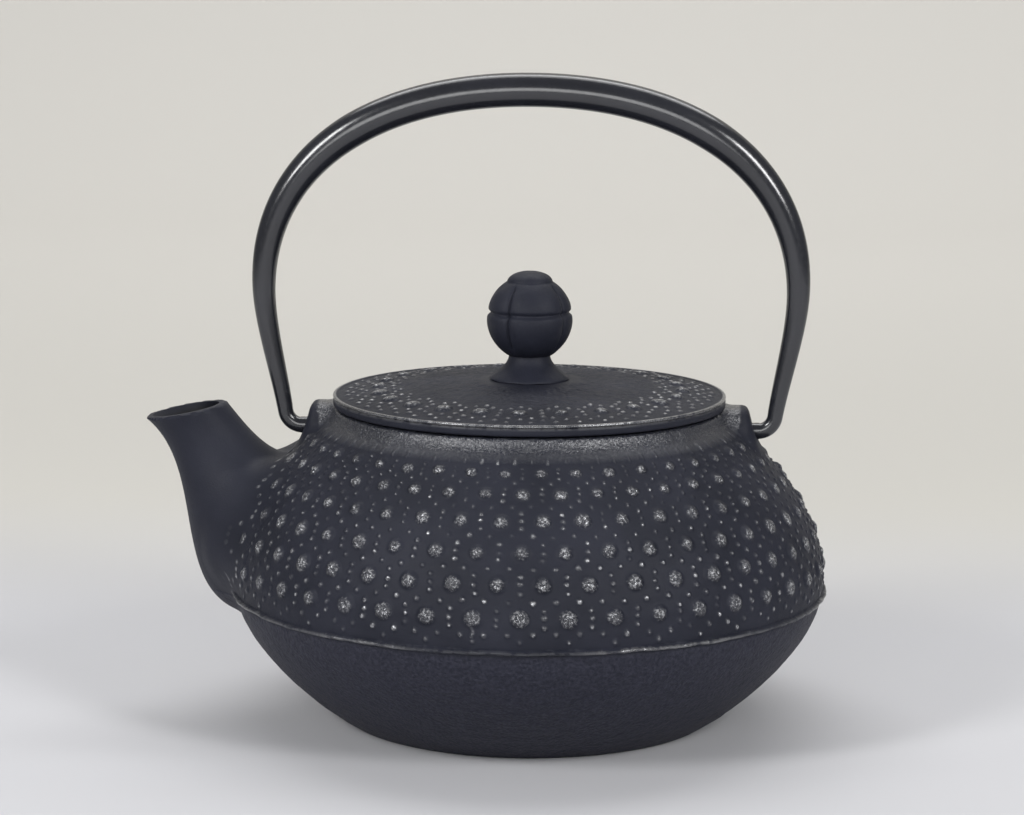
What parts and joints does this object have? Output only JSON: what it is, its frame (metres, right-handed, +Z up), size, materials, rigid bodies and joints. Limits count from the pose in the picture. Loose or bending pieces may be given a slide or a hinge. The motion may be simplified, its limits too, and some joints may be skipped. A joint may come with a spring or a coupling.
{
  "type": "teapot",
  "caption": "Round cast-iron teapot with a studded shoulder, short spout, lift-off lid with a lobed knob, lift-out strainer basket and a folding bail handle.",
  "frame": {"origin": "centre of the flat base, on the axis of the pot", "axes": "+Z up along the axis of the pot; the spout points along -X; the handle's hinge line runs along X"},
  "size_m": [0.1762, 0.154, 0.1653],
  "materials": {
    "cast_iron": "dark blue-black cast iron, worn pale on the studs",
    "handle_steel": "satin black paint on rolled steel",
    "fastener_steel": "plain steel",
    "basket_steel": "bare stainless steel"
  },
  "bodies": {
    "pot": {"pot_body": "cast_iron"},
    "handle": {"handle": "handle_steel"},
    "basket": {"basket_collar": "basket_steel", "basket_wall": "basket_steel", "basket_floor": "basket_steel", "basket_band": "basket_steel", "basket_seam": "basket_steel"},
    "lid": {"lid_plate": "cast_iron", "lid_knob": "cast_iron", "knob_screw": "fastener_steel", "knob_washer": "fastener_steel"}
  },
  "joints": [
    {"name": "handle_fold", "type": "hinge", "parent": "pot", "child": "handle", "pos_m": [0, 0, 0.0745], "axis": [1, 0, 0], "range_deg": [-110, 110]},
    {"name": "basket_lift", "type": "slide", "parent": "pot", "child": "basket", "axis": [0, 0, 1], "range_m": [0, 0.04]},
    {"name": "lid_lift", "type": "slide", "parent": "basket", "child": "lid", "axis": [0, 0, 1], "range_m": [0, 0.04]}
  ]
}
